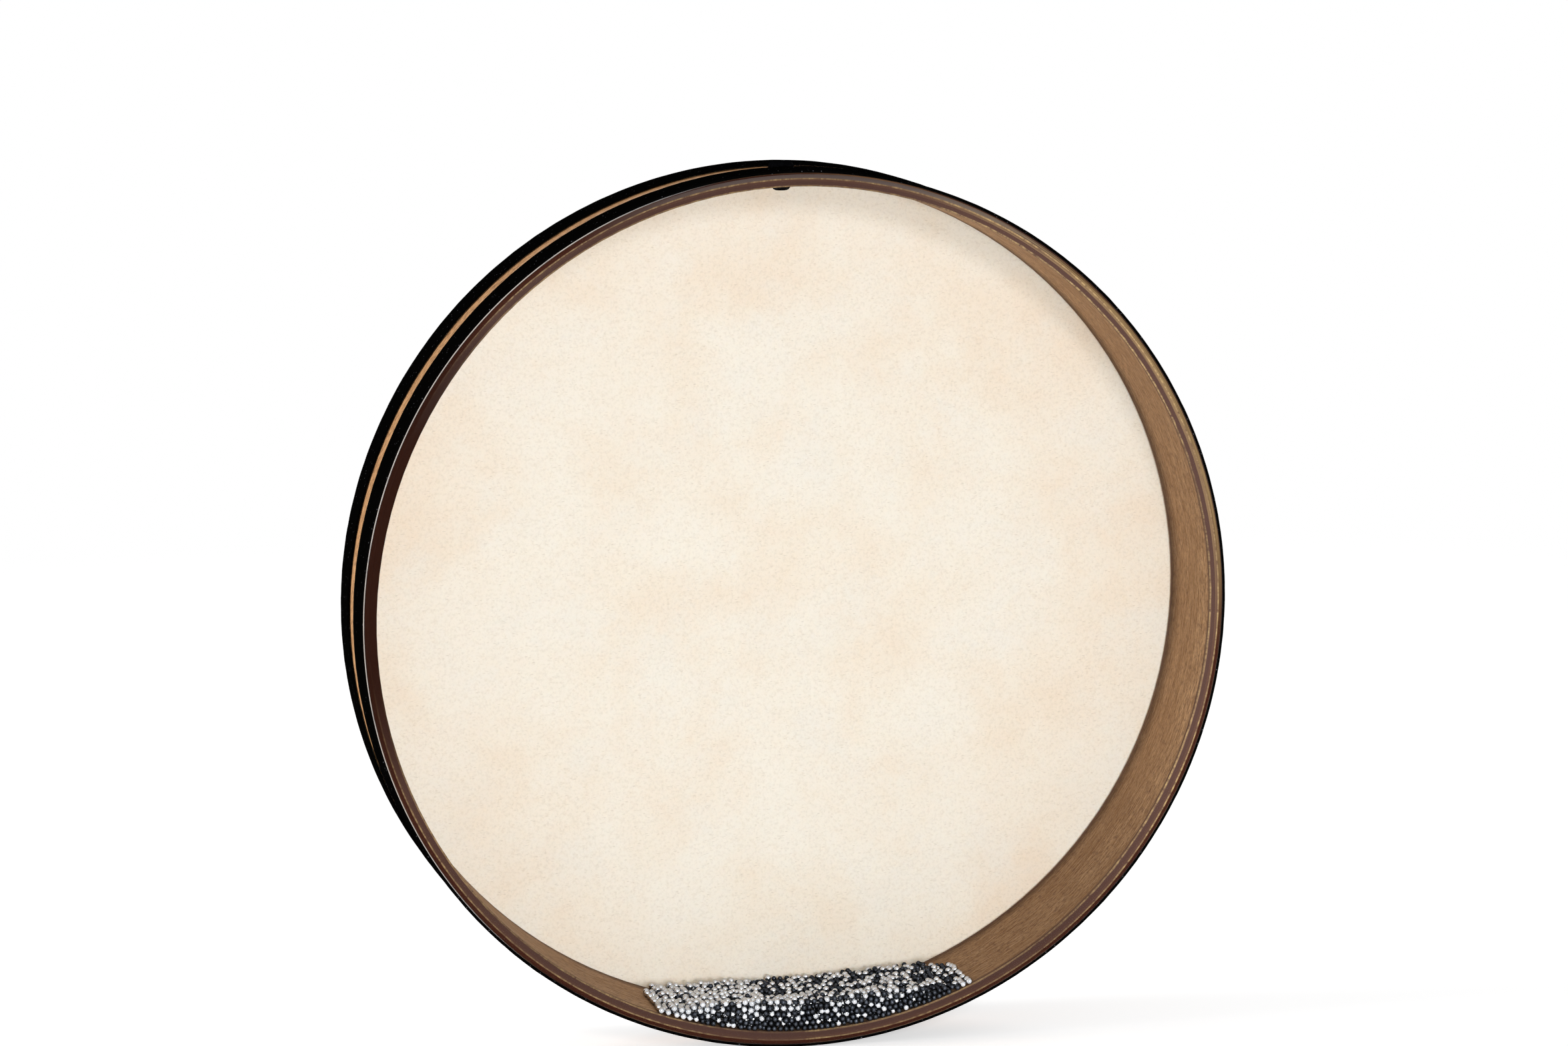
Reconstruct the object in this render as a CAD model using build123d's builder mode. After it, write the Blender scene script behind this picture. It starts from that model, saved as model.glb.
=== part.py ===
from build123d import *
import os
import numpy as np
from scipy.spatial import cKDTree

# Ocean drum, standing on edge: a bent plywood ring closed by a clear head in front and a skin head behind,
# with a heap of small steel balls rolling between them. Millimetres, +Z up, clear head towards -Y,
# origin on the ground under the middle of the drum.

# Shell: a ring of five plies, glued face to face
shell_diameter = 508.0
shell_depth = 80.0
outer_veneer_thickness = 1.0
outer_cross_ply_thickness = 2.0
core_ply_thickness = 2.0
inner_cross_ply_thickness = 2.0
inner_veneer_thickness = 1.0
crest_inset = 3.3
crest_fall = 2.0

# Heads: each is stretched over a crest and drawn down the outside of the shell as a collar
film_thickness = 0.3
skin_thickness = 0.6

# Tapes: black webbing that covers the collars and leaves a stripe of bare wood between them
stripe_width = 21.0
tape_thickness = 1.2
tape_wrap = 30.0
collar_cover = 4.0

# Tacks: a ring of them holds each collar, under its tape
tack_count = 44
tack_line = 14.0
tack_shank_diameter = 1.4
tack_length = 6.5
tack_head_diameter = 5.0
tack_head_thickness = 0.5
tack_head_room = 0.1

# Filler plug: a rubber bung in the hole that the balls were poured in by
plug_diameter = 11.0
plug_fit = 0.1
plug_reach = 5.0
plug_nose_round = 3.0
plug_cap_diameter = 15.0
plug_cap_height = 3.6
plug_cap_round = 2.4
plug_cap_seat = 0.15

# Balls: large bright ones and small dark ones, lying where they come to rest
bright_ball_diameter = 4.0
bright_ball_count = 1200
dark_ball_diameter = 3.2
dark_ball_count = 2600
ball_gap = 0.1
ball_wall_gap = 0.2

# How the heap settles: a ball sinks by ball_sink in the first round and by less in each later one.
# The balls have run forward, so the heap rises towards the clear head, by heap_rise. Its middle is filled higher,
# by heap_crown, because it sinks more than its ends. Shaking has brought the large balls up, more of them by
# mix_by_height, over to the left, by mix_by_side, and to the front, by mix_by_front.
# The drum has been rolled a little, so the heap leans up its right side by heap_lean degrees.
settling_rounds = 400
sinking_rounds = 200
ball_sink = 0.09
contact_give = 0.42
mix_seed = 7
heap_rise = 0.06
heap_crown = 0.0002
mix_by_height = 0.07
mix_by_side = 0.014
mix_by_front = 0.003
heap_lean = 1.5

# Sizes and places that follow from these
shell_radius = shell_diameter / 2
half_depth = shell_depth / 2
plies = {
    "outer_veneer": outer_veneer_thickness,
    "outer_cross_ply": outer_cross_ply_thickness,
    "core_ply": core_ply_thickness,
    "inner_cross_ply": inner_cross_ply_thickness,
    "inner_veneer": inner_veneer_thickness,
}
inner_radius = shell_radius - sum(plies.values())
crest_radius = shell_radius - crest_inset
head_thickness = {"front": film_thickness, "rear": skin_thickness}
side_sign = {"front": -1, "rear": 1}
collar_end = stripe_width / 2 + collar_cover
hole_radius = plug_diameter / 2 + plug_fit
ground_clearance = shell_radius + max(film_thickness, skin_thickness) + tape_thickness
drum_middle = Vector(0, (film_thickness - skin_thickness) / 2, ground_clearance)
drum_axis = Axis(drum_middle, (0, 1, 0))
drum_section = Plane(drum_middle, x_dir=(1, 0, 0), z_dir=(0, 0, 1))


def shell_outline():
    """Section of the whole shell: flat inside, bevelled up to each crest, rounded over to the outside."""
    bevel_end = half_depth - crest_fall
    with BuildLine() as outline:
        inside = Line((inner_radius, -bevel_end), (inner_radius, bevel_end))
        rear_bevel = Line(inside @ 1, (crest_radius, half_depth))
        rear_round = JernArc(rear_bevel @ 1, (1, 0), crest_inset, -90)
        outside = Line(rear_round @ 1, (shell_radius, -half_depth + crest_inset))
        front_round = JernArc(outside @ 1, (0, -1), crest_inset, -90)
        Line(front_round @ 1, inside @ 0)
    make_face(outline.edges())


def head_outline(side):
    """Section of a head: the flat disc, the turn over the shell's rounded edge and the collar."""
    sign = side_sign[side]
    thickness = head_thickness[side]
    round_middle = (crest_radius, sign * (half_depth - crest_inset))
    collar = sign * collar_end
    with BuildLine() as outline:
        under = Line((0, sign * half_depth), (crest_radius, sign * half_depth))
        under_turn = CenterArc(round_middle, crest_inset, 0, sign * 90)
        under_collar = Line(under_turn @ 0, (shell_radius, collar))
        hem = Line(under_collar @ 1, (shell_radius + thickness, collar))
        over_turn = CenterArc(round_middle, crest_inset + thickness, 0, sign * 90)
        Line(hem @ 1, over_turn @ 0)
        over = Line(over_turn @ 1, (0, sign * (half_depth + thickness)))
        Line(over @ 1, under @ 0)
    make_face(outline.edges())


def tape_outline(side):
    """Section of a tape: it starts part way round the shell's edge and ends at the bare stripe."""
    sign = side_sign[side]
    underside = crest_inset + head_thickness[side]
    round_middle = (crest_radius, sign * (half_depth - crest_inset))
    stripe_edge = sign * stripe_width / 2
    with BuildLine() as outline:
        under_turn = CenterArc(round_middle, underside, 0, sign * tape_wrap)
        under = Line(under_turn @ 0, (crest_radius + underside, stripe_edge))
        selvedge = Line(under @ 1, (crest_radius + underside + tape_thickness, stripe_edge))
        over_turn = CenterArc(round_middle, underside + tape_thickness, 0, sign * tape_wrap)
        Line(selvedge @ 1, over_turn @ 0)
        Line(over_turn @ 1, under_turn @ 1)
    make_face(outline.edges())


def tack_ring(side, diameter, start, end, mode):
    """A ring of round bars through one collar: they run outwards from start to end, both from its outside."""
    ring_middle = drum_middle + (0, side_sign[side] * (half_depth - tack_line), 0)
    with Locations(Plane(ring_middle, x_dir=(1, 0, 0), z_dir=(0, 1, 0))):
        with PolarLocations(shell_radius + head_thickness[side] + start, tack_count):
            Cylinder(
                diameter / 2,
                end - start,
                rotation=(0, 90, 0),
                align=(Align.CENTER, Align.CENTER, Align.MIN),
                mode=mode,
            )


def tack_holes(side):
    """The holes that the tacks make in the collar and the shell."""
    tack_ring(side, tack_shank_diameter, -tack_length, tack_head_thickness, Mode.SUBTRACT)


def filler_hole():
    """The hole for the filler plug, through the top of the shell in the middle of the bare stripe."""
    with BuildSketch(Plane(drum_middle)) as hole:
        Circle(hole_radius)
    extrude(hole.sketch, amount=shell_diameter, mode=Mode.SUBTRACT)


def ball_sites(count, pitch):
    """Places for count balls on a square grid, filled from the bottom of the shell upwards."""
    reach = inner_radius - ball_wall_gap - pitch / 2
    room = half_depth - ball_wall_gap - pitch / 2
    across = np.arange(-reach, reach, pitch)
    along = np.arange(-room, room, pitch)
    x, y, z = (grid.ravel() for grid in np.meshgrid(across, along, across))
    inside = np.hypot(x, z) <= reach
    sites = np.column_stack((x, y, z))[inside]
    level = sites[:, 2] + heap_rise * sites[:, 1] + heap_crown * sites[:, 0] ** 2
    lowest_first = np.lexsort((sites[:, 1], np.abs(sites[:, 0]), level))
    return sites[lowest_first[:count]]


def settled(sites, radii):
    """Where balls of these radii come to rest: they sink, push each other apart and stay within the walls."""
    spots = sites.copy()
    reach = inner_radius - ball_wall_gap - radii
    room = half_depth - ball_wall_gap - radii
    for turn in range(settling_rounds):
        spots[:, 2] -= ball_sink * max(0, 1 - turn / sinking_rounds)
        first, second = cKDTree(spots).query_pairs(2 * radii.max() + ball_gap, output_type="ndarray").T
        apart = spots[second] - spots[first]
        distance = np.linalg.norm(apart, axis=1)
        overlap = np.clip(radii[first] + radii[second] + ball_gap - distance, 0, None)
        push = apart * (contact_give * overlap / distance)[:, None]
        np.add.at(spots, second, push)
        np.subtract.at(spots, first, push)
        spots[:, 1] = np.clip(spots[:, 1], -room, room)
        spots[:, ::2] *= np.minimum(1, reach / np.hypot(spots[:, 0], spots[:, 2]))[:, None]
    return spots


os.makedirs("parts", exist_ok=True)

# Shell plies, from the outside in
ply_outside = shell_radius
for ply_name, ply_thickness in plies.items():
    with BuildPart() as ply:
        with BuildSketch(drum_section):
            shell_outline()
            with Locations((ply_outside - ply_thickness / 2, 0)):
                Rectangle(ply_thickness, shell_depth, mode=Mode.INTERSECT)
        revolve(axis=drum_axis)
        filler_hole()
        if shell_radius - ply_outside < tack_length:
            tack_holes("front")
            tack_holes("rear")
    ply.part.label = ply_name
    export_step(ply.part, f"parts/{ply_name}.step")
    ply_outside -= ply_thickness

# Heads, tapes and tacks, front and rear
for side in side_sign:
    with BuildPart() as head:
        with BuildSketch(drum_section):
            head_outline(side)
        revolve(axis=drum_axis)
        tack_holes(side)
    head.part.label = f"{side}_head"
    export_step(head.part, f"parts/{side}_head.step")

    with BuildPart() as tape:
        with BuildSketch(drum_section):
            tape_outline(side)
        revolve(axis=drum_axis)
        hollow = tack_head_diameter + 2 * tack_head_room
        tack_ring(side, hollow, -tack_head_room, tack_head_thickness + tack_head_room, Mode.SUBTRACT)
    tape.part.label = f"{side}_tape"
    export_step(tape.part, f"parts/{side}_tape.step")

    with BuildPart() as tacks:
        tack_ring(side, tack_shank_diameter, -tack_length, 0, Mode.ADD)
        tack_ring(side, tack_head_diameter, 0, tack_head_thickness, Mode.ADD)
    tacks.part.label = f"{side}_tacks"
    export_step(tacks.part, f"parts/{side}_tacks.step")

# Filler plug
with BuildPart() as filler_plug:
    with BuildSketch(Plane(drum_middle + (0, 0, inner_radius - plug_reach))):
        Circle(plug_diameter / 2)
    extrude(amount=shell_radius + plug_cap_seat - inner_radius + plug_reach)
    nose_edge = filler_plug.edges().sort_by(Axis.Z)[0]
    fillet(nose_edge, plug_nose_round)
    with BuildSketch(Plane(drum_middle + (0, 0, shell_radius + plug_cap_seat))):
        Circle(plug_cap_diameter / 2)
    extrude(amount=plug_cap_height)
    cap_edge = filler_plug.edges().sort_by(Axis.Z)[-1]
    fillet(cap_edge, plug_cap_round)
filler_plug.part.label = "filler_plug"
export_step(filler_plug.part, "parts/filler_plug.step")

# The heap of balls
ball_count = bright_ball_count + dark_ball_count
grid_pitch = (bright_ball_diameter + dark_ball_diameter) / 2 + 2 * ball_gap
sites = ball_sites(ball_count, grid_pitch)
chance = np.random.default_rng(mix_seed).normal(size=ball_count)
left_share = np.clip(-sites[:, 0], 0, None)
rank = chance + mix_by_height * sites[:, 2] + mix_by_side * left_share - mix_by_front * sites[:, 1]
is_bright = np.argsort(np.argsort(-rank)) < bright_ball_count
radii = np.where(is_bright, bright_ball_diameter, dark_ball_diameter) / 2
spots = settled(sites, radii)
first, second = cKDTree(spots).query_pairs(2 * radii.max() + ball_gap, output_type="ndarray").T
least_gap = (np.linalg.norm(spots[second] - spots[first], axis=1) - radii[first] - radii[second]).min()
print(f"least gap between two balls: {least_gap:.3f} mm, top of the heap {spots[:, 2].max():.1f} mm")

heap_place = Plane(drum_middle).rotated((0, -heap_lean, 0))
for ball_name, chosen, diameter in (
    ("bright_balls", is_bright, bright_ball_diameter),
    ("dark_balls", ~is_bright, dark_ball_diameter),
):
    with BuildPart() as balls:
        with Locations([heap_place.from_local_coords(tuple(spot)) for spot in spots[chosen].tolist()]):
            Sphere(diameter / 2)
    balls.part.label = ball_name
    export_step(balls.part, f"parts/{ball_name}.step")
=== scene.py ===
"""Ocean drum: a ring of bent plywood with a clear head, a skin head and loose steel balls between them."""
import logging
import math
from dataclasses import dataclass, field
from enum import Enum

import bmesh
import bpy
import numpy as np
from mathutils import Matrix, Vector, noise


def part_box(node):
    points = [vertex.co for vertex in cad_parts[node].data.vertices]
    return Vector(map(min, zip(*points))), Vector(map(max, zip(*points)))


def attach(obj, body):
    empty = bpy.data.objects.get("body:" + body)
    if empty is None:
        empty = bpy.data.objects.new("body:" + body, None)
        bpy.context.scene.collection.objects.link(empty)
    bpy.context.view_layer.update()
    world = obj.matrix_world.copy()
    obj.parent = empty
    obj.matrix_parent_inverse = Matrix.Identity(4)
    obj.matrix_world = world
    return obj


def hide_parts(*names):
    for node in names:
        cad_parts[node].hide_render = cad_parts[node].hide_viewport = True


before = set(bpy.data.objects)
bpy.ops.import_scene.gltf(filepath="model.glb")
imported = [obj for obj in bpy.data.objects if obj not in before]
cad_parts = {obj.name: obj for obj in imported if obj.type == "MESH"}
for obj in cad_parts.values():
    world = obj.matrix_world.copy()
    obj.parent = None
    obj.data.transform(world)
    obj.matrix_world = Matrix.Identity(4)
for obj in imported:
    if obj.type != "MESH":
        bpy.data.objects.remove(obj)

log = logging.getLogger("ocean_drum")

Socket = bpy.types.NodeSocket
Material = bpy.types.Material
Colour = tuple[float, float, float]
Scale = tuple[float, float, float]

MM = 0.001
DRUM_AXIS = Vector((0, 1, 0))
UP = Vector((0, 0, 1))
WHITE: Colour = (1.0, 1.0, 1.0)
FILM_THICKNESS = 0.3 * MM
SKIN_THICKNESS = 0.6 * MM


def shade(code: str) -> Colour:
    """Turn a colour as a designer writes it into the linear one that a shader takes.

    Args:
        code: Six hex digits, red first.

    Returns:
        The linear red, green and blue.
    """
    parts = [int(code[i:i + 2], 16) / 255 for i in (0, 2, 4)]
    return tuple(p / 12.92 if p <= 0.04045 else ((p + 0.055) / 1.055) ** 2.4 for p in parts)


def even(scale: float) -> Scale:
    """The same scale in all three directions."""
    return scale, scale, scale


class Side(Enum):
    """The two faces of the drum."""

    FRONT = "front"
    REAR = "rear"

    @property
    def sign(self) -> int:
        """Which way the face looks along the drum's axis."""
        return -1 if self is Side.FRONT else 1


@dataclass(frozen=True)
class Drum:
    """Where the drum's axis runs and how large its shell is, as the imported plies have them.

    The crest of the rim lies crest_inset inside the shell's outside, and the bevel's inner corner lies
    crest_fall lower than the crest.
    """

    middle: Vector
    shell_radius: float
    half_depth: float
    crest_inset: float = 3.3 * MM
    crest_fall: float = 2.0 * MM

    @classmethod
    def measured(cls) -> "Drum":
        """Read the drum's sizes from its outermost and middle plies."""
        low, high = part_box("outer_veneer")
        core_low, core_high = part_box("core_ply")
        return cls(
            middle=(core_low + core_high) / 2,
            shell_radius=(high.x - low.x) / 2,
            half_depth=(core_high.y - core_low.y) / 2,
        )

    @property
    def crest_radius(self) -> float:
        """Radius of the line where a head leaves the shell."""
        return self.shell_radius - self.crest_inset


class Nodes:
    """A node tree in the making, and short ways to add to it."""

    # A Mix node repeats its sockets for each kind of data, and these are the colours' own.
    FIRST_COLOUR, SECOND_COLOUR, MIXED_COLOUR = 6, 7, 2

    def __init__(self, owner: bpy.types.Material | bpy.types.World) -> None:
        """Start from the owner's plain tree."""
        owner.use_nodes = True
        self.nodes = owner.node_tree.nodes
        self.links = owner.node_tree.links

    def add(self, kind: str, **settings: object) -> bpy.types.Node:
        """Add one node.

        Args:
            kind: The node's type.
            settings: Properties to set on it.

        Returns:
            The new node.
        """
        node = self.nodes.new(kind)
        for key, value in settings.items():
            setattr(node, key, value)
        return node

    def feed(self, socket: Socket, value: object) -> None:
        """Give a socket another node's output, a number or a colour."""
        if isinstance(value, Socket):
            self.links.new(value, socket)
        elif isinstance(value, tuple) and len(value) == 3 and socket.type == "RGBA":
            socket.default_value = (*value, 1.0)
        else:
            socket.default_value = value

    def sum(self, operation: str, first: object, second: object = 0.0, third: object = 0.0) -> Socket:
        """One arithmetic step.

        Args:
            operation: The operation's name.
            first: First number or output.
            second: Second number or output.
            third: Third number or output, for the steps that take one.

        Returns:
            The result.
        """
        node = self.add("ShaderNodeMath", operation=operation)
        for socket, value in zip(node.inputs, (first, second, third)):
            self.feed(socket, value)
        return node.outputs[0]

    def times(self, *factors: object) -> Socket:
        """Multiply two or more numbers or outputs."""
        product, *others = factors
        for factor in others:
            product = self.sum("MULTIPLY", product, factor)
        return product

    def step(self, value: object, low: float, high: float) -> Socket:
        """Ramp smoothly from 0 at low to 1 at high."""
        node = self.add("ShaderNodeMapRange", interpolation_type="SMOOTHSTEP")
        for key, number in (("Value", value), ("From Min", low), ("From Max", high)):
            self.feed(node.inputs[key], number)
        return node.outputs["Result"]

    def mix(self, share: object, first: object, second: object) -> Socket:
        """Mix two colours.

        Args:
            share: How much of the second colour.
            first: First colour.
            second: Second colour.

        Returns:
            The mixed colour.
        """
        node = self.add("ShaderNodeMix", data_type="RGBA")
        self.feed(node.inputs["Factor"], share)
        self.feed(node.inputs[self.FIRST_COLOUR], first)
        self.feed(node.inputs[self.SECOND_COLOUR], second)
        return node.outputs[self.MIXED_COLOUR]

    def stretched(self, place: Socket, scale: Scale, turn: float = 0.0) -> Socket:
        """Scale a place along its three directions, then turn it about the second one."""
        node = self.add("ShaderNodeMapping", vector_type="POINT")
        self.feed(node.inputs["Vector"], place)
        node.inputs["Scale"].default_value = scale
        node.inputs["Rotation"].default_value = (0.0, turn, 0.0)
        return node.outputs["Vector"]

    def spots(self, place: Socket, scale: float) -> tuple[Socket, Socket]:
        """Scattered points: the distance to the nearest one, and that point's own random colour."""
        node = self.add("ShaderNodeTexVoronoi", feature="F1")
        self.feed(node.inputs["Vector"], place)
        node.inputs["Scale"].default_value = scale
        return node.outputs["Distance"], node.outputs["Color"]

    def seen(self) -> Socket:
        """1 where the eye, a reflection or a view through film ends, and 0 where light is gathered."""
        path = self.add("ShaderNodeLightPath").outputs
        direct = self.sum("MAXIMUM", path["Is Camera Ray"], path["Is Glossy Ray"])
        return self.sum("MAXIMUM", direct, path["Is Transmission Ray"])


class Recipe(Nodes):
    """A material in the making."""

    def __init__(self, name: str) -> None:
        """Start from a plain shader of this name."""
        self.material = bpy.data.materials.new(name)
        super().__init__(self.material)
        self.shader = self.nodes["Principled BSDF"]

    def set(self, **inputs: object) -> None:
        """Feed the shader's own sockets, named in lower case with underscores."""
        for key, value in inputs.items():
            self.feed(self.shader.inputs[key.replace("_", " ").title().replace("Ior", "IOR")], value)

    def bumped(self, height: Socket, distance: float, strength: float = 1.0) -> None:
        """Let a pattern raise the surface by up to distance."""
        node = self.add("ShaderNodeBump")
        self.feed(node.inputs["Height"], height)
        node.inputs["Distance"].default_value = distance
        node.inputs["Strength"].default_value = strength
        self.links.new(node.outputs["Normal"], self.shader.inputs["Normal"])

    def place(self) -> Socket:
        """Where a point of the piece is, in metres."""
        return self.add("ShaderNodeTexCoord").outputs["Object"]

    def round_place(self, drum: Drum) -> tuple[Socket, Socket, Socket]:
        """Where a point is on the drum.

        Args:
            drum: The drum's axis and sizes.

        Returns:
            The length along the shell from its top, the depth from the shell's middle and the radius.
        """
        offset = self.add("ShaderNodeVectorMath", operation="SUBTRACT")
        self.feed(offset.inputs[0], self.place())
        offset.inputs[1].default_value = drum.middle
        split = self.add("ShaderNodeSeparateXYZ")
        self.links.new(offset.outputs[0], split.inputs[0])
        x, y, z = split.outputs
        angle = self.sum("ARCTAN2", x, z)
        radius = self.sum("SQRT", self.sum("MULTIPLY_ADD", z, z, self.times(x, x)))
        return self.times(angle, drum.shell_radius), y, radius

    def joined(self, x: object, y: object, z: object) -> Socket:
        """Three numbers as one place."""
        node = self.add("ShaderNodeCombineXYZ")
        for socket, value in zip(node.inputs, (x, y, z)):
            self.feed(socket, value)
        return node.outputs[0]


@dataclass(frozen=True)
class Pattern:
    """A soft random pattern, and how its values are read as a share.

    Fields: patches per metre in each direction, how many finer layers there are and how strong they are, the
    values at which the share is 0 and 1, a turn about the second direction, and how far it is pulled about.
    """

    scale: Scale
    detail: float = 3.0
    rough: float = 0.5
    none: float = 0.0
    full: float = 1.0
    turn: float = 0.0
    warp: float = 0.0

    def value(self, recipe: Recipe, place: Socket) -> Socket:
        """The pattern itself, from 0 to 1."""
        node = recipe.add("ShaderNodeTexNoise")
        recipe.feed(node.inputs["Vector"], recipe.stretched(place, self.scale, self.turn))
        settings = {"Scale": 1.0, "Detail": self.detail, "Roughness": self.rough, "Distortion": self.warp}
        for key, number in settings.items():
            node.inputs[key].default_value = number
        return node.outputs["Fac"]

    def read(self, recipe: Recipe, value: Socket) -> Socket:
        """The share that a value of the pattern stands for."""
        return recipe.step(value, self.none, self.full)

    def share(self, recipe: Recipe, place: Socket) -> Socket:
        """The pattern as a share, where its values aren't used."""
        return self.read(recipe, self.value(recipe, place))


@dataclass(frozen=True)
class Sector:
    """A stretch of the shell's round that a look keeps to.

    Fields: its middle in degrees from the top, to the right as the clear head is seen, and the cosines of the
    angle from there at which its share is 0 and 1. With the cosines swapped it is the rest of the round.
    """

    degrees: float
    none: float
    full: float

    def share(self, recipe: Recipe, along: Socket, drum: Drum) -> Socket:
        """How far a place lies in the sector.

        Args:
            recipe: The material in the making.
            along: The place's length along the shell from its top.
            drum: The drum's axis and sizes.

        Returns:
            1 well inside, 0 well outside.
        """
        turn = recipe.sum("MULTIPLY_ADD", along, 1 / drum.shell_radius, -math.radians(self.degrees))
        return recipe.step(recipe.sum("COSINE", turn), self.none, self.full)


@dataclass(frozen=True)
class WearLine:
    """A line round the rim where the stain has been sanded through, at one radius or at one depth."""

    width: float
    strength: float
    radius: float = 0.0
    depth: float = 0.0
    softness: float = 0.35
    wander: Pattern = Pattern((60, 0, 0), detail=4, rough=0.7)
    patches: Pattern = Pattern((190, 0, 0), detail=6, rough=0.8, none=0.36, full=0.64)
    spread: Pattern = Pattern((7, 0, 0), detail=2, none=0.25, full=0.6)

    def share(self, recipe: Recipe, off_middle: Socket, radius: Socket, place: Socket) -> Socket:
        """How much bare wood shows.

        Args:
            recipe: The material in the making.
            off_middle: Depth from the shell's middle, either way.
            radius: Distance from the drum's axis.
            place: Where the patterns are read.

        Returns:
            The share of bare wood.
        """
        if self.radius:
            off_line = recipe.sum("SUBTRACT", radius, self.radius)
        else:
            off_line = recipe.sum("SUBTRACT", off_middle, self.depth)
        gap = recipe.sum("ABSOLUTE", off_line)
        width = recipe.times(self.wander.value(recipe, place), 2 * self.width)
        line = recipe.step(recipe.sum("SUBTRACT", width, gap), 0.0, self.softness * self.width)
        broken = recipe.times(self.patches.share(recipe, place), self.spread.share(recipe, place))
        return recipe.times(line, broken, self.strength)


@dataclass(frozen=True)
class WoodFinish:
    """Stained and lacquered veneer, its grain running round the shell.

    The early and late wood, the stained edge and worn wood have their colours. The field pooled says how much
    painted shade darkens the wall by the skin head, and sunk how much darker the wood is made towards the
    bottom;
    rubbed says how strongly hands have rubbed the rim, and bloomed how much a painted sheen lightens its top.
    The rim also gets painted shade on the left and, more weakly, all round but the right.
    """

    name: str
    early: Colour
    late: Colour
    edge: Colour
    worn: Colour
    wear: WearLine | None = None
    # Painted shade on the wall by the skin head.
    skin_shade: float = 0.0
    # How much darker the wood is made towards the bottom.
    bottom_darkening: float = 0.0
    rubbed: float = 0.0
    top_sheen: float = 0.0
    # The deep colour serves as painted shade by the skin head and on the rim, and for the darkening towards
    # the bottom.
    deep: Colour = shade("2a1107")
    # Colour of the painted sheen on the rim's top.
    bloom: Colour = shade("7c726d")
    # How far the painted shade reaches from the skin head.
    skin_shade_reach: float = 26 * MM
    rim_start: float = 6.5 * MM
    rim_full: float = 2.2 * MM
    fibre: Pattern = Pattern((70, 640, 300), detail=5, rough=0.68, none=0.32, full=0.68)
    pores: Pattern = Pattern((260, 720, 720), rough=0.75, none=0.46, full=0.62)
    pore_strength: float = 0.65
    tone: Pattern = Pattern((5, 22, 22), none=0.35, full=0.7)
    tone_strength: float = 0.5
    streaks: Pattern = Pattern((9, 900, 900), detail=4, rough=0.6, none=0.42, full=0.7)
    streak_strength: float = 0.35
    rub_none: float = 0.3
    rub_full: float = 0.6
    bottom: Sector = Sector(180, none=0.25, full=0.75)
    handled: Sector = Sector(55, none=0.72, full=0.97)
    # Where the painted sheen lies.
    top: Sector = Sector(5, none=0.8, full=0.98)
    # Painted shade on the rim: full on the left, and weaker all round but the right.
    shaded_left: Sector = Sector(-78, none=0.72, full=0.97)
    shaded_round: Sector = Sector(75, none=0.8, full=0.3)
    round_shade_strength: float = 0.42
    roughness: float = 0.53
    roughness_spread: float = 0.14
    specular: float = 0.03
    pore_relief: float = 0.5
    relief: float = 0.12 * MM
    relief_strength: float = 0.6

    def material(self, drum: Drum) -> Material:
        """Make the finish.

        Args:
            drum: The drum whose shell it covers.

        Returns:
            The material.
        """
        recipe = Recipe(self.name)
        along, depth, radius = recipe.round_place(drum)
        place = recipe.joined(along, depth, radius)
        fibre = self.fibre.value(recipe, place)
        grain = self.fibre.read(recipe, fibre)
        pores = self.pores.value(recipe, place)
        off_middle = recipe.sum("ABSOLUTE", depth)
        rim = recipe.step(off_middle, drum.half_depth - self.rim_start, drum.half_depth - self.rim_full)
        # Painted shade: the wall darkens towards the deep colour near the skin head.
        near_skin = recipe.step(depth, drum.half_depth - self.skin_shade_reach, drum.half_depth)
        # Darker towards the bottom. The stain share below joins this with the painted shade by the skin head.
        low = self.bottom.share(recipe, along, drum)
        stain = recipe.sum("MAXIMUM", recipe.times(near_skin, self.skin_shade), recipe.times(low, self.bottom_darkening))
        wood = recipe.mix(stain, self.grained(recipe, place, grain, pores), self.deep)
        wood = recipe.mix(rim, wood, self.rim_wood(recipe, place, along, drum))
        if self.wear:
            wood = recipe.mix(self.wear.share(recipe, off_middle, radius, place), wood, self.worn)
        # Painted shade: the rim is darkened towards the deep colour on the left and, more weakly, everywhere
        # but the right.
        round_shade = recipe.times(self.shaded_round.share(recipe, along, drum), self.round_shade_strength)
        dark = recipe.sum("MAXIMUM", self.shaded_left.share(recipe, along, drum), round_shade)
        wood = recipe.mix(recipe.times(dark, rim), wood, self.deep)
        recipe.set(base_color=wood, specular_ior_level=self.specular)
        recipe.set(roughness=recipe.sum("MULTIPLY_ADD", grain, self.roughness_spread, self.roughness))
        height = recipe.sum("ADD", fibre, recipe.times(pores, self.pore_relief))
        recipe.bumped(height, self.relief, self.relief_strength)
        return recipe.material

    def grained(self, recipe: Recipe, place: Socket, grain: Socket, pores: Socket) -> Socket:
        """The colour of the flat veneer: grain, pores and broad changes of tone.

        Args:
            recipe: The material in the making.
            place: Where the tones are read.
            grain: The share of late wood.
            pores: The values of the pores' pattern.

        Returns:
            The colour.
        """
        pitted = recipe.times(self.pores.read(recipe, pores), self.pore_strength)
        wood = recipe.mix(pitted, recipe.mix(grain, self.early, self.late), self.edge)
        toned = recipe.mix(self.tone_strength, wood, self.late)
        return recipe.mix(self.tone.share(recipe, place), wood, toned)

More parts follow.
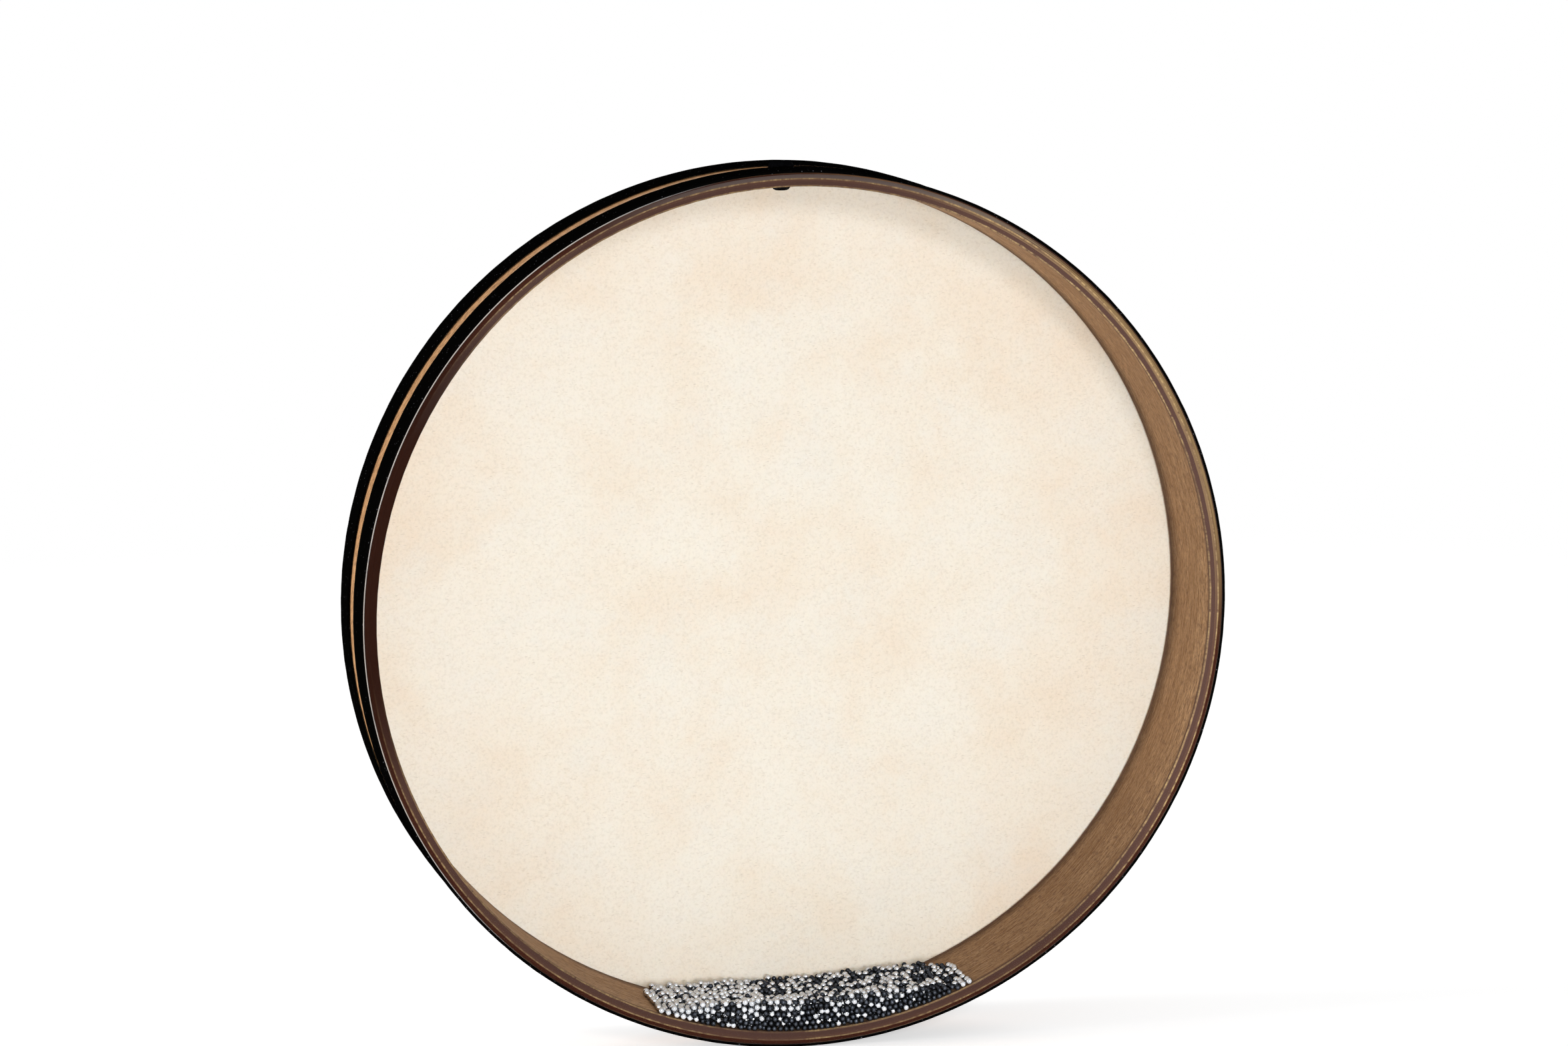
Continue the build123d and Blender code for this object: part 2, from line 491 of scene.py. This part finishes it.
    def rim_wood(self, recipe: Recipe, place: Socket, along: Socket, drum: Drum) -> Socket:
        """The colour of the bevelled rim, streaked, rubbed by hands and with a painted sheen at the top.

        Args:
            recipe: The material in the making.
            place: Where the streaks are read.
            along: Length along the shell from its top.
            drum: The drum's axis and sizes.

        Returns:
            The colour.
        """
        streaks = self.streaks.value(recipe, place)
        streaked = recipe.mix(self.streak_strength, self.edge, self.early)
        edge = recipe.mix(self.streaks.read(recipe, streaks), self.edge, streaked)
        handled = self.handled.share(recipe, along, drum)
        rub = recipe.times(handled, recipe.step(streaks, self.rub_none, self.rub_full), self.rubbed)
        edge = recipe.mix(rub, edge, self.worn)
        # Painted sheen: the rim's top is lightened towards the bloom colour.
        return recipe.mix(recipe.times(self.top.share(recipe, along, drum), self.top_sheen), edge, self.bloom)


@dataclass(frozen=True)
class HairLay:
    """One lie of the hair roots in the skin: its turn, roots per metre, and the share that doesn't show."""

    turn: float
    pitch: float
    bald: float


@dataclass(frozen=True)
class SkinFinish:
    """Scraped hide: cream, clouded, with short hair roots."""

    name: str = "goat skin"
    cream: Colour = shade("f8eddf")
    warm: Colour = shade("f4e2d1")
    cool: Colour = shade("f2ebe0")
    root: Colour = shade("a08c78")
    patches: Pattern = Pattern(even(13), detail=5, rough=0.6, none=0.34, full=0.7, warp=0.2)
    tints: Pattern = Pattern(even(21), detail=5, rough=0.6, none=0.45, full=0.75, turn=1.1)
    tint_strength: float = 0.7
    flecks: Pattern = Pattern(even(620), detail=4, rough=0.75, none=0.44, full=0.72)
    fleck_strength: float = 0.2
    lays: tuple[HairLay, ...] = (
        HairLay(0.5, 210.0, 0.75),
        HairLay(-0.4, 290.0, 0.8),
        HairLay(1.9, 250.0, 0.82),
    )
    hair_shape: Scale = (1.0, 1.0, 5.5)
    hair_far: float = 0.3
    hair_near: float = 0.12
    hair_strength: float = 0.3
    hair_ramp: float = 0.02
    roughness: float = 0.62
    specular: float = 0.2
    clear: float = 0.6
    reach: float = 2.0 * MM
    bleed: Colour = (1.0, 0.8, 0.65)
    patch_relief: float = 2.0
    relief: float = 0.1 * MM
    relief_strength: float = 0.5

    def material(self) -> Material:
        """Make the finish for the skin head."""
        recipe = Recipe(self.name)
        place = recipe.place()
        patches = self.patches.value(recipe, place)
        flecks = self.flecks.value(recipe, place)
        tint = recipe.times(self.tints.share(recipe, place), self.tint_strength)
        fleck = recipe.times(self.flecks.read(recipe, flecks), self.fleck_strength)
        hide = recipe.mix(self.patches.read(recipe, patches), self.cream, self.warm)
        hide = recipe.mix(fleck, recipe.mix(tint, hide, self.cool), self.root)
        for lay in self.lays:
            near, chance = recipe.spots(recipe.stretched(place, self.hair_shape, lay.turn), lay.pitch)
            short = recipe.step(near, self.hair_far, self.hair_near)
            some = recipe.step(chance, lay.bald, lay.bald + self.hair_ramp)
            hide = recipe.mix(recipe.times(short, some, self.hair_strength), hide, self.root)
        recipe.set(base_color=hide, roughness=self.roughness, specular_ior_level=self.specular)
        recipe.set(subsurface_weight=self.clear, subsurface_radius=self.bleed, subsurface_scale=self.reach)
        height = recipe.sum("ADD", flecks, recipe.times(patches, self.patch_relief))
        recipe.bumped(height, self.relief, self.relief_strength)
        return recipe.material


@dataclass(frozen=True)
class FilmFinish:
    """Clear polyester film: nearly all of it is seen through, and it shines where it turns away."""

    name: str = "clear film"
    tint: Colour = (0.95, 0.96, 0.97)
    # Colour of the painted glint where the film turns over the edge.
    glint_colour: Colour = shade("fff1e4")
    haze: float = 0.0012
    smears: Pattern = Pattern(even(9), detail=4, rough=0.6, warp=0.6)
    shine: float = 0.45
    shine_blend: float = 0.2
    shine_power: float = 3.0
    # Painted glint: an opaque warm-white line where the film turns over the edge on the left, broken up by a
    # pattern.
    glint_opacity: float = 0.98
    glint_inset: float = 0.82 * MM
    glint_breaks: Pattern = Pattern((35, 0, 0), detail=4, rough=0.7, none=0.2, full=0.5)
    glint_sector: Sector = Sector(-75, none=0.4, full=0.8)
    roughness: float = 0.05
    roughness_spread: float = 0.06
    specular: float = 0.7

    def material(self, drum: Drum) -> Material:
        """Make the finish for the clear head, with a painted warm-white glint where it turns over the edge on
        the left.

        Args:
            drum: The drum whose edge it is folded over.

        Returns:
            The material.
        """
        recipe = Recipe(self.name)
        along, depth, radius = recipe.round_place(drum)
        # The painted glint's mask: a band by the shell's outside, broken up and kept to the left.
        glint_break = self.glint_breaks.share(recipe, recipe.joined(along, depth, radius))
        glint_start = drum.shell_radius - self.glint_inset
        turn = recipe.step(radius, glint_start, glint_start + 0.5 * self.glint_inset)
        glint = recipe.times(turn, glint_break, self.glint_sector.share(recipe, along, drum))
        facing = recipe.add("ShaderNodeLayerWeight")
        facing.inputs["Blend"].default_value = self.shine_blend
        grazing = recipe.sum("POWER", facing.outputs["Facing"], self.shine_power)
        smear = self.smears.value(recipe, recipe.place())
        haze_and_glint = recipe.sum("MULTIPLY_ADD", smear, self.haze, self.haze / 2)
        # The painted glint's opacity is added to the film's haze.
        haze_and_glint = recipe.sum("MULTIPLY_ADD", glint, self.glint_opacity, haze_and_glint)
        recipe.set(base_color=recipe.mix(glint, self.tint, self.glint_colour))
        recipe.set(alpha=recipe.sum("MULTIPLY_ADD", grazing, self.shine, haze_and_glint))
        recipe.set(roughness=recipe.sum("MULTIPLY_ADD", smear, self.roughness_spread, self.roughness))
        recipe.set(specular_ior_level=self.specular)
        return recipe.material


@dataclass(frozen=True)
class WebbingFinish:
    """Black woven tape: ribs across, yarns along, and a few fibres that catch the light."""

    name: str = "black webbing"
    yarn: Colour = shade("0a0908")
    # Painted shade in the weave's hollows.
    weave_shade: Colour = shade("020202")
    lint: Colour = shade("7a7a80")
    rib: float = 1.5 * MM
    pitch: float = 0.9 * MM
    fuzz: Pattern = Pattern(even(1900), rough=0.7, none=0.4, full=0.6)
    lint_pitch: float = 800.0
    lint_far: float = 0.36
    lint_near: float = 0.16
    lint_rare: float = 0.82
    lint_sure: float = 0.88
    roughness: float = 0.9
    fuzz_relief: float = 0.4
    relief: float = 0.22 * MM

    def material(self, drum: Drum) -> Material:
        """Make the finish for the two tapes.

        Args:
            drum: The drum that they go round.

        Returns:
            The material.
        """
        recipe = Recipe(self.name)
        along, depth, radius = recipe.round_place(drum)
        place = recipe.joined(along, depth, radius)
        lengthwise = recipe.sum("SINE", recipe.times(along, 2 * math.pi / self.rib))
        shift = recipe.times(along, math.pi / self.rib)
        across = recipe.sum("SINE", recipe.sum("MULTIPLY_ADD", depth, 2 * math.pi / self.pitch, shift))
        height = recipe.sum("MULTIPLY_ADD", recipe.times(lengthwise, across), 0.5, 0.5)
        fuzz = self.fuzz.value(recipe, place)
        near, chance = recipe.spots(place, self.lint_pitch)
        close = recipe.step(near, self.lint_far, self.lint_near)
        some = recipe.step(chance, self.lint_rare, self.lint_sure)
        # Painted shade: the weave's hollows are darker than the tops of the yarn.
        cloth = recipe.mix(height, self.weave_shade, self.yarn)
        cloth = recipe.mix(recipe.times(close, some, self.fuzz.read(recipe, fuzz)), cloth, self.lint)
        recipe.set(base_color=cloth, roughness=self.roughness, specular_ior_level=0.0)
        recipe.bumped(recipe.sum("MULTIPLY_ADD", fuzz, self.fuzz_relief, height), self.relief)
        return recipe.material


@dataclass(frozen=True)
class MetalFinish:
    """Steel, bright or blackened, a little different from one piece to the next.

    The ring is how bright the metal stays where it turns away from the eye.
    """

    name: str
    colour: Colour
    other: Colour
    roughness: float
    roughness_spread: float
    ring: float = 1.0
    lots: Pattern = Pattern(even(160), detail=1, none=0.3, full=0.7)
    rubs: Pattern = Pattern(even(2400), detail=2)

    def material(self) -> Material:
        """Make the finish for balls or tacks."""
        recipe = Recipe(self.name)
        place = recipe.place()
        rub = self.rubs.value(recipe, place)
        steel = recipe.mix(self.lots.share(recipe, place), self.colour, self.other)
        recipe.set(base_color=steel, metallic=1.0, specular_tint=even(self.ring))
        recipe.set(roughness=recipe.sum("MULTIPLY_ADD", rub, self.roughness_spread, self.roughness))
        return recipe.material


@dataclass(frozen=True)
class RubberFinish:
    """Smooth black rubber with a trace of bloom."""

    name: str = "plug rubber"
    black: Colour = shade("08080a")
    bloom: Colour = shade("151517")
    dust: Pattern = Pattern(even(420), detail=4, rough=0.65, none=0.45, full=0.75)
    grit: Pattern = Pattern(even(2200), detail=2)
    roughness: float = 0.45
    roughness_spread: float = 0.2
    relief: float = 0.05 * MM
    relief_strength: float = 0.5

    def material(self) -> Material:
        """Make the finish for the filler plug."""
        recipe = Recipe(self.name)
        place = recipe.place()
        dust = self.dust.value(recipe, place)
        recipe.set(base_color=recipe.mix(self.dust.read(recipe, dust), self.black, self.bloom))
        recipe.set(roughness=recipe.sum("MULTIPLY_ADD", dust, self.roughness_spread, self.roughness))
        recipe.set(specular_ior_level=0.0)
        recipe.bumped(self.grit.value(recipe, place), self.relief, self.relief_strength)
        return recipe.material


@dataclass(frozen=True)
class Section:
    """A section to be turned about an axis.

    Fields: the corners, each a radius and a height along the axis; how far before and after a corner its
    rounding starts, by the corner's number; whether the last corner is joined to the first; the length past
    which an edge is divided, and the number of cuts; the faces of a rounding; and how near points are joined.
    """

    outline: list[tuple[float, float]]
    rounds: dict[int, float]
    closed: bool = True
    long_edge: float = math.inf
    cuts: int = 0
    round_faces: int = 6
    weld: float = 0.001 * MM

    def turned(self, axis: Vector, middle: Vector, steps: int) -> bmesh.types.BMesh:
        """Turn the section about an axis.

        Args:
            axis: Direction of the axis.
            middle: A point of the axis, where the height is 0.
            steps: Number of faces round the axis.

        Returns:
            The turned shape, closed, with its faces outwards.
        """
        outwards = Vector((1, 0, 0))
        shape = bmesh.new()
        corners = [shape.verts.new(middle + outwards * radius + axis * height)
                   for radius, height in self.outline]
        for pair in zip(corners, corners[1:] + corners[:1] if self.closed else corners[1:]):
            shape.edges.new(pair)
        for number, offset in self.rounds.items():
            bmesh.ops.bevel(shape, geom=[corners[number]], offset=offset, offset_type="OFFSET",
                            segments=self.round_faces, profile=0.5, affect="VERTICES", material=-1)
        if self.cuts:
            long_edges = [edge for edge in shape.edges if edge.calc_length() > self.long_edge]
            bmesh.ops.subdivide_edges(shape, edges=long_edges, cuts=self.cuts)
        bmesh.ops.spin(shape, geom=shape.verts[:] + shape.edges[:], cent=middle, axis=axis,
                       angle=2 * math.pi, steps=steps, use_merge=True)
        bmesh.ops.remove_doubles(shape, verts=shape.verts[:], dist=self.weld)
        bmesh.ops.recalc_face_normals(shape, faces=shape.faces[:])
        return shape


def finished(name: str, shape: bmesh.types.BMesh, material: Material, body: str,
             sharp: float = 0.6) -> bpy.types.Object:
    """Make a shape a piece of the drum.

    Args:
        name: The piece's name.
        shape: Its mesh, which is used up.
        material: Its finish.
        body: The body that it moves with.
        sharp: Edges that turn by more than this angle stay crisp.

    Returns:
        The piece.
    """
    mesh = bpy.data.meshes.new(name)
    shape.to_mesh(mesh)
    shape.free()
    mesh.materials.append(material)
    mesh.shade_smooth()
    mesh.set_sharp_from_angle(angle=sharp)
    piece = bpy.data.objects.new(name, mesh)
    bpy.context.scene.collection.objects.link(piece)
    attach(piece, body)
    log.info("%s: %d faces, rides on %s", name, len(mesh.polygons), body)
    return piece


def dressed(node: str, material: Material) -> None:
    """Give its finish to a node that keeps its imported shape."""
    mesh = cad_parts[node].data
    mesh.materials.clear()
    mesh.materials.append(material)
    log.info("%s: keeps its packed shape", node)


@dataclass
class Shell:
    """The five plies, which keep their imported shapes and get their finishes."""

    drum: Drum
    stain: Colour = shade("452218")
    mauve: Colour = shade("61473f")
    gold: Colour = shade("dcbb83")
    crest_line: float = 0.1 * MM

    def dress(self) -> None:
        """Give each ply its finish."""
        stain, mauve, gold = self.stain, self.mauve, self.gold
        crest = WearLine(0.55 * MM, 0.95, radius=self.drum.crest_radius - self.crest_line)
        corner = WearLine(0.4 * MM, 0.85, depth=self.drum.half_depth - self.drum.crest_fall)
        finishes = {
            "outer_veneer": WoodFinish("outer veneer", shade("f8c08a"), shade("ca9563"), stain, gold),
            "outer_cross_ply": WoodFinish(
                "outer cross ply", shade("5a3220"), shade("381a10"), stain, gold, rubbed=0.45, top_sheen=0.7),
            "core_ply": WoodFinish(
                "core ply", shade("7d5a48"), shade("5c4039"), shade("664a40"), gold, wear=crest, rubbed=0.3),
            "inner_cross_ply": WoodFinish("inner cross ply", shade("604641"), shade("4a3335"), mauve, gold),
            "inner_veneer": WoodFinish(
                "inner veneer", shade("dcb487"), shade("a27c57"), mauve, gold, wear=corner,
                skin_shade=0.78, bottom_darkening=0.3),
        }
        for node, finish in finishes.items():
            dressed(node, finish.material(self.drum))


@dataclass
class Tacks:
    """The tacks under the tapes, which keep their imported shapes."""

    finish: MetalFinish = MetalFinish("tack steel", shade("b9b9bb"), shade("a5a5a8"), 0.3, 0.2)

    def dress(self) -> None:
        """Give the tacks of both heads their finish."""
        material = self.finish.material()
        for side in Side:
            dressed(f"{side.value}_tacks", material)


@dataclass
class Head:
    """One head: the disc, its turn over the shell's edge and the collar under the tape."""

    drum: Drum
    side: Side
    thickness: float
    collar_end: float = 14.5 * MM
    rings: int = 11
    steps: int = 256

    def build(self, material: Material, slot: str) -> bpy.types.Object:
        """Make the head and let it stand for its node.

        Args:
            material: Its finish.
            slot: Not used.

        Returns:
            The piece.
        """
        drum, sign = self.drum, self.side.sign
        top = sign * (drum.half_depth + self.thickness)
        under = sign * drum.half_depth
        hem = sign * self.collar_end
        rim = drum.shell_radius + self.thickness
        shell = drum.shell_radius
        section = Section(
            outline=[(0.0, top), (rim, top), (rim, hem), (shell, hem), (shell, under), (0.0, under)],
            rounds={1: drum.crest_inset + self.thickness, 4: drum.crest_inset},
            closed=False, long_edge=shell / 2, cuts=self.rings,
        )
        shape = section.turned(DRUM_AXIS, drum.middle, self.steps)
        piece = finished(f"{self.side.value}_head_sheet", shape, material, "drum")
        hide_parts(f"{self.side.value}_head")
        return piece

    @property
    def cut_radius(self) -> float:
        """Radius of the disc that the head was cut as: crest, turn and collar laid flat."""
        turn = math.pi / 2 * (self.drum.crest_inset + self.thickness / 2)
        collar = self.drum.half_depth - self.drum.crest_inset - self.collar_end
        return self.drum.crest_radius + turn + collar


@dataclass
class Tape:
    """One strip of webbing round the outside, from part way over the shell's edge to the bare stripe.

    The bends say how much of each corner at the edge is rounded. The selvedge by the stripe wanders and
    flutters over a width, the outside swells, each with its number of waves, and the two tapes' waves are
    read apart.
    """

    drum: Drum
    side: Side
    head_thickness: float
    stripe_width: float = 21.0 * MM
    thickness: float = 1.2 * MM
    wrap: float = math.radians(30)
    inner_bend: float = 0.98
    outer_bend: float = 0.9
    selvedge: float = 0.35 * MM
    wander: float = 0.45 * MM
    wander_width: float = 6.0 * MM
    wander_waves: float = 9.0
    flutter: float = 0.6
    flutter_waves: float = 31.0
    swell: float = 0.12 * MM
    swell_waves: float = 40.0
    swell_width: float = 5.0 * MM
    apart: float = 3.0
    cuts: int = 5
    steps: int = 480

    def build(self, material: Material) -> bpy.types.Object:
        """Make the tape and let it stand for its node."""
        drum, sign = self.drum, self.side.sign
        under = drum.crest_inset + self.head_thickness
        over = under + self.thickness
        bend = drum.half_depth - drum.crest_inset
        lean = math.tan(self.wrap / 2)
        stripe_edge = sign * self.stripe_width / 2
        crest = drum.crest_radius
        away, along = math.cos(self.wrap), math.sin(self.wrap)
        section = Section(
            outline=[
                (crest + under, stripe_edge),
                (crest + under, sign * (bend + under * lean)),
                (crest + under * away, sign * (bend + under * along)),
                (crest + over * away, sign * (bend + over * along)),
                (crest + over, sign * (bend + over * lean)),
                (crest + over, stripe_edge),
            ],
            rounds={
                1: under * lean * self.inner_bend,
                4: over * lean * self.outer_bend,
                3: self.selvedge,
                5: self.selvedge,
            },
            long_edge=self.stripe_width / 2, cuts=self.cuts,
        )
        shape = section.turned(DRUM_AXIS, drum.middle, self.steps)
        self.roughen(shape)
        piece = finished(f"{self.side.value}_tape_webbing", shape, material, "drum")
        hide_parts(f"{self.side.value}_tape")
        return piece

    def roughen(self, shape: bmesh.types.BMesh) -> None:
        """Let the selvedges wander and the outside swell a little, as glued cloth does."""
        drum, sign = self.drum, self.side.sign
        outside = drum.shell_radius + self.head_thickness + self.thickness / 2
        for vert in shape.verts:
            arm = vert.co - drum.middle
            radius = math.hypot(arm.x, arm.z)
            seed = Vector((arm.x, sign * self.apart, arm.z)) / radius
            from_stripe = (abs(arm.y) - self.stripe_width / 2) / self.wander_width
            loose = 1 - min(1.0, max(0.0, from_stripe))
            flutter = self.flutter * noise.noise(seed * self.flutter_waves)
            vert.co.y += sign * loose * self.wander * (noise.noise(seed * self.wander_waves) + flutter)
            if radius > outside:
                across = arm.y / self.swell_width
                round_x, round_z = seed.x * self.swell_waves, seed.z * self.swell_waves
                lift = self.swell * noise.noise(Vector((round_x, across, round_z)))
                vert.co.x += arm.x / radius * lift
                vert.co.z += arm.z / radius * lift


@dataclass
class FillerPlug:
    """The rubber bung at the top: a domed cap outside and a rounded nose inside."""

    stem: float = 11.0 * MM
    cap: float = 15.0 * MM
    cap_height: float = 3.6 * MM
    nose_round: float = 3.0 * MM
    cap_round: float = 2.4 * MM
    lip: float = 0.4 * MM
    steps: int = 64

    def build(self, material: Material) -> bpy.types.Object:
        """Make the plug and let it stand for its node."""
        low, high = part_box("filler_plug")
        foot = Vector(((low.x + high.x) / 2, (low.y + high.y) / 2, low.z))
        tall = high.z - low.z
        seat = tall - self.cap_height
        stem, cap = self.stem / 2, self.cap / 2
        section = Section(
            outline=[(0, 0), (stem, 0), (stem, seat), (cap, seat), (cap, tall), (0, tall)],
            rounds={1: self.nose_round, 3: self.lip, 4: self.cap_round},
            closed=False,
        )
        shape = section.turned(UP, foot, self.steps)
        piece = finished("filler_plug_rubber", shape, material, "plug")
        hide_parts("filler_plug")
        return piece


@dataclass
class BallHeap:
    """One kind of ball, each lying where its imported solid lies.

    A packed ball's vertices follow each other in its node's mesh, fewer than most_vertices of them, and all
    within reach of the first one, which is in diameters.
    """

    node: str
    diameter: float
    segments: int
    rings: int
    reach: float = 1.05
    most_vertices: int = 4000

    def build(self, material: Material, slot: str) -> bpy.types.Object:
        """Make the balls and let them stand for their node.

        Args:
            material: Their finish.
            slot: Not used.

        Returns:
            All balls of this kind as one piece.
        """
        ball = bmesh.new()
        bmesh.ops.create_uvsphere(ball, u_segments=self.segments, v_segments=self.rings,
                                  radius=self.diameter / 2)
        pattern = bpy.data.meshes.new(f"{self.node} pattern")
        ball.to_mesh(pattern)
        ball.free()
        heap = bmesh.new()
        for centre in self.centres():
            pattern.transform(Matrix.Translation(centre))
            heap.from_mesh(pattern)
            pattern.transform(Matrix.Translation(-centre))
        bpy.data.meshes.remove(pattern)
        piece = finished(f"{self.node}_loose", heap, material, "heap", sharp=math.pi)
        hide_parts(self.node)
        return piece

    def centres(self) -> list[Vector]:
        """Find the middle of each packed ball."""
        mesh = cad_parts[self.node].data
        corners = np.zeros(len(mesh.vertices) * 3)
        mesh.vertices.foreach_get("co", corners)
        corners = corners.reshape(-1, 3)
        found = []
        start = 0
        while start < len(corners):
            run = corners[start:start + self.most_vertices]
            away = np.linalg.norm(run - run[0], axis=1) > self.reach * self.diameter
            stop = start + (int(np.argmax(away)) if away.any() else len(run))
            found.append(Vector((corners[start:stop].min(0) + corners[start:stop].max(0)) / 2))
            start = stop
        return found


@dataclass(frozen=True)
class Lamp:
    """A soft square lamp: its name, its place and width in metres, and its power in watts."""

    name: str
    place: tuple[float, float, float]
    width: float
    power: float

    def build(self, target: Vector) -> None:
        """Add the lamp, turned to what it lights."""
        light = bpy.data.lights.new(self.name, "AREA")
        light.size = self.width
        light.energy = self.power
        lamp = bpy.data.objects.new(self.name, light)
        place = Vector(self.place)
        turn = (target - place).to_track_quat("-Z", "Y").to_matrix().to_4x4()
        lamp.matrix_world = Matrix.Translation(place) @ turn
        bpy.context.scene.collection.objects.link(lamp)


@dataclass
class Studio:
    """The camera, the pale floor and the soft light."""

    target: Vector = field(default_factory=lambda: Vector((-9.91, -40.175, 309.37)) * MM)
    distance: float = 2.87135
    azimuth: float = 0.2256
    elevation: float = 0.1481
    roll: float = -0.0123
    lens: float = 115.1
    sensor: float = 36.0
    floor_radius: float = 2.2
    floor_sides: int = 96
    floor_solid: float = 0.3
    floor_gone: float = 0.9
    floor_colour: Colour = (0.88, 0.88, 0.88)
    floor_roughness: float = 0.9
    floor_specular: float = 0.1
    floor_glow: float = 0.54
    ambient: float = 0.27
    lamps: tuple[Lamp, ...] = (
        Lamp("front", (0.0, -3.2, 0.4), 0.5, 46.0),
        Lamp("key", (0.0, -3.0, 1.2), 0.45, 22.0),
        Lamp("side", (-2.6, 0.2, 0.8), 1.0, 32.0),
        Lamp("back", (0.3, 2.6, 1.0), 1.4, 25.0),
    )

    def build(self) -> None:
        """Set up everything that isn't the drum."""
        self.camera()
        self.world()
        self.floor()
        for lamp in self.lamps:
            lamp.build(self.target)
        bpy.context.scene.view_settings.view_transform = "Standard"

    def camera(self) -> None:
        """Look at the drum from a little to the left and above, as the photograph does."""
        lens = bpy.data.cameras.new("camera")
        lens.lens = self.lens
        lens.sensor_width = self.sensor
        lens.sensor_fit = "HORIZONTAL"
        camera = bpy.data.objects.new("camera", lens)
        back = self.back()
        turn = (-back).to_track_quat("-Z", "Y").to_matrix().to_4x4() @ Matrix.Rotation(self.roll, 4, "Z")
        camera.matrix_world = Matrix.Translation(self.target + back * self.distance) @ turn
        bpy.context.scene.collection.objects.link(camera)
        bpy.context.scene.camera = camera

    def back(self) -> Vector:
        """The way from the drum to the camera."""
        level = math.cos(self.elevation)
        left, near = math.sin(self.azimuth) * level, math.cos(self.azimuth) * level
        return Vector((-left, -near, math.sin(self.elevation)))

    def world(self) -> None:
        """White for the eye and for reflections, and softer as a light."""
        world = bpy.data.worlds.new("studio")
        nodes = Nodes(world)
        level = nodes.sum("MULTIPLY_ADD", nodes.seen(), 1 - self.ambient, self.ambient)
        nodes.feed(nodes.nodes["Background"].inputs["Color"], WHITE)
        nodes.feed(nodes.nodes["Background"].inputs["Strength"], level)
        bpy.context.scene.world = world

    def floor(self) -> None:
        """A round pale floor that takes the drum's shadow and fades out into the white around it."""
        shape = bmesh.new()
        bmesh.ops.create_circle(shape, cap_ends=True, segments=self.floor_sides, radius=self.floor_radius)
        mesh = bpy.data.meshes.new("floor")
        shape.to_mesh(mesh)
        shape.free()
        recipe = Recipe("pale floor")
        recipe.set(base_color=self.floor_colour, roughness=self.floor_roughness)
        recipe.set(specular_ior_level=self.floor_specular, emission_color=WHITE)
        recipe.set(emission_strength=recipe.times(recipe.seen(), self.floor_glow))
        length = recipe.add("ShaderNodeVectorMath", operation="LENGTH")
        recipe.feed(length.inputs[0], recipe.place())
        gone, solid = self.floor_gone * self.floor_radius, self.floor_solid * self.floor_radius
        recipe.set(alpha=recipe.step(length.outputs["Value"], gone, solid))
        mesh.materials.append(recipe.material)
        floor = bpy.data.objects.new("floor", mesh)
        bpy.context.scene.collection.objects.link(floor)


def main() -> None:
    """Build the drum and the studio in order."""
    logging.basicConfig(level=logging.INFO, format="%(message)s")
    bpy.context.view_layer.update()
    drum = Drum.measured()
    Studio().build()
    Shell(drum).dress()
    Head(drum, Side.FRONT, FILM_THICKNESS).build(FilmFinish().material(drum), "clear_film")
    Head(drum, Side.REAR, SKIN_THICKNESS).build(SkinFinish().material(), "goat_skin")
    webbing = WebbingFinish().material(drum)
    Tape(drum, Side.FRONT, FILM_THICKNESS).build(webbing)
    Tape(drum, Side.REAR, SKIN_THICKNESS).build(webbing)
    Tacks().dress()
    FillerPlug().build(RubberFinish().material())
    bright = MetalFinish("bright steel", shade("e2e4e8"), shade("ced1d6"), 0.03, 0.03, ring=0.0)
    dark = MetalFinish("dark steel", shade("464a52"), shade("34373d"), 0.24, 0.12, ring=0.2)
    BallHeap("bright_balls", 4.0 * MM, segments=12, rings=6).build(bright.material(), "bright_steel")
    BallHeap("dark_balls", 3.2 * MM, segments=9, rings=5).build(dark.material(), "dark_steel")


if __name__ == "__main__":
    main()
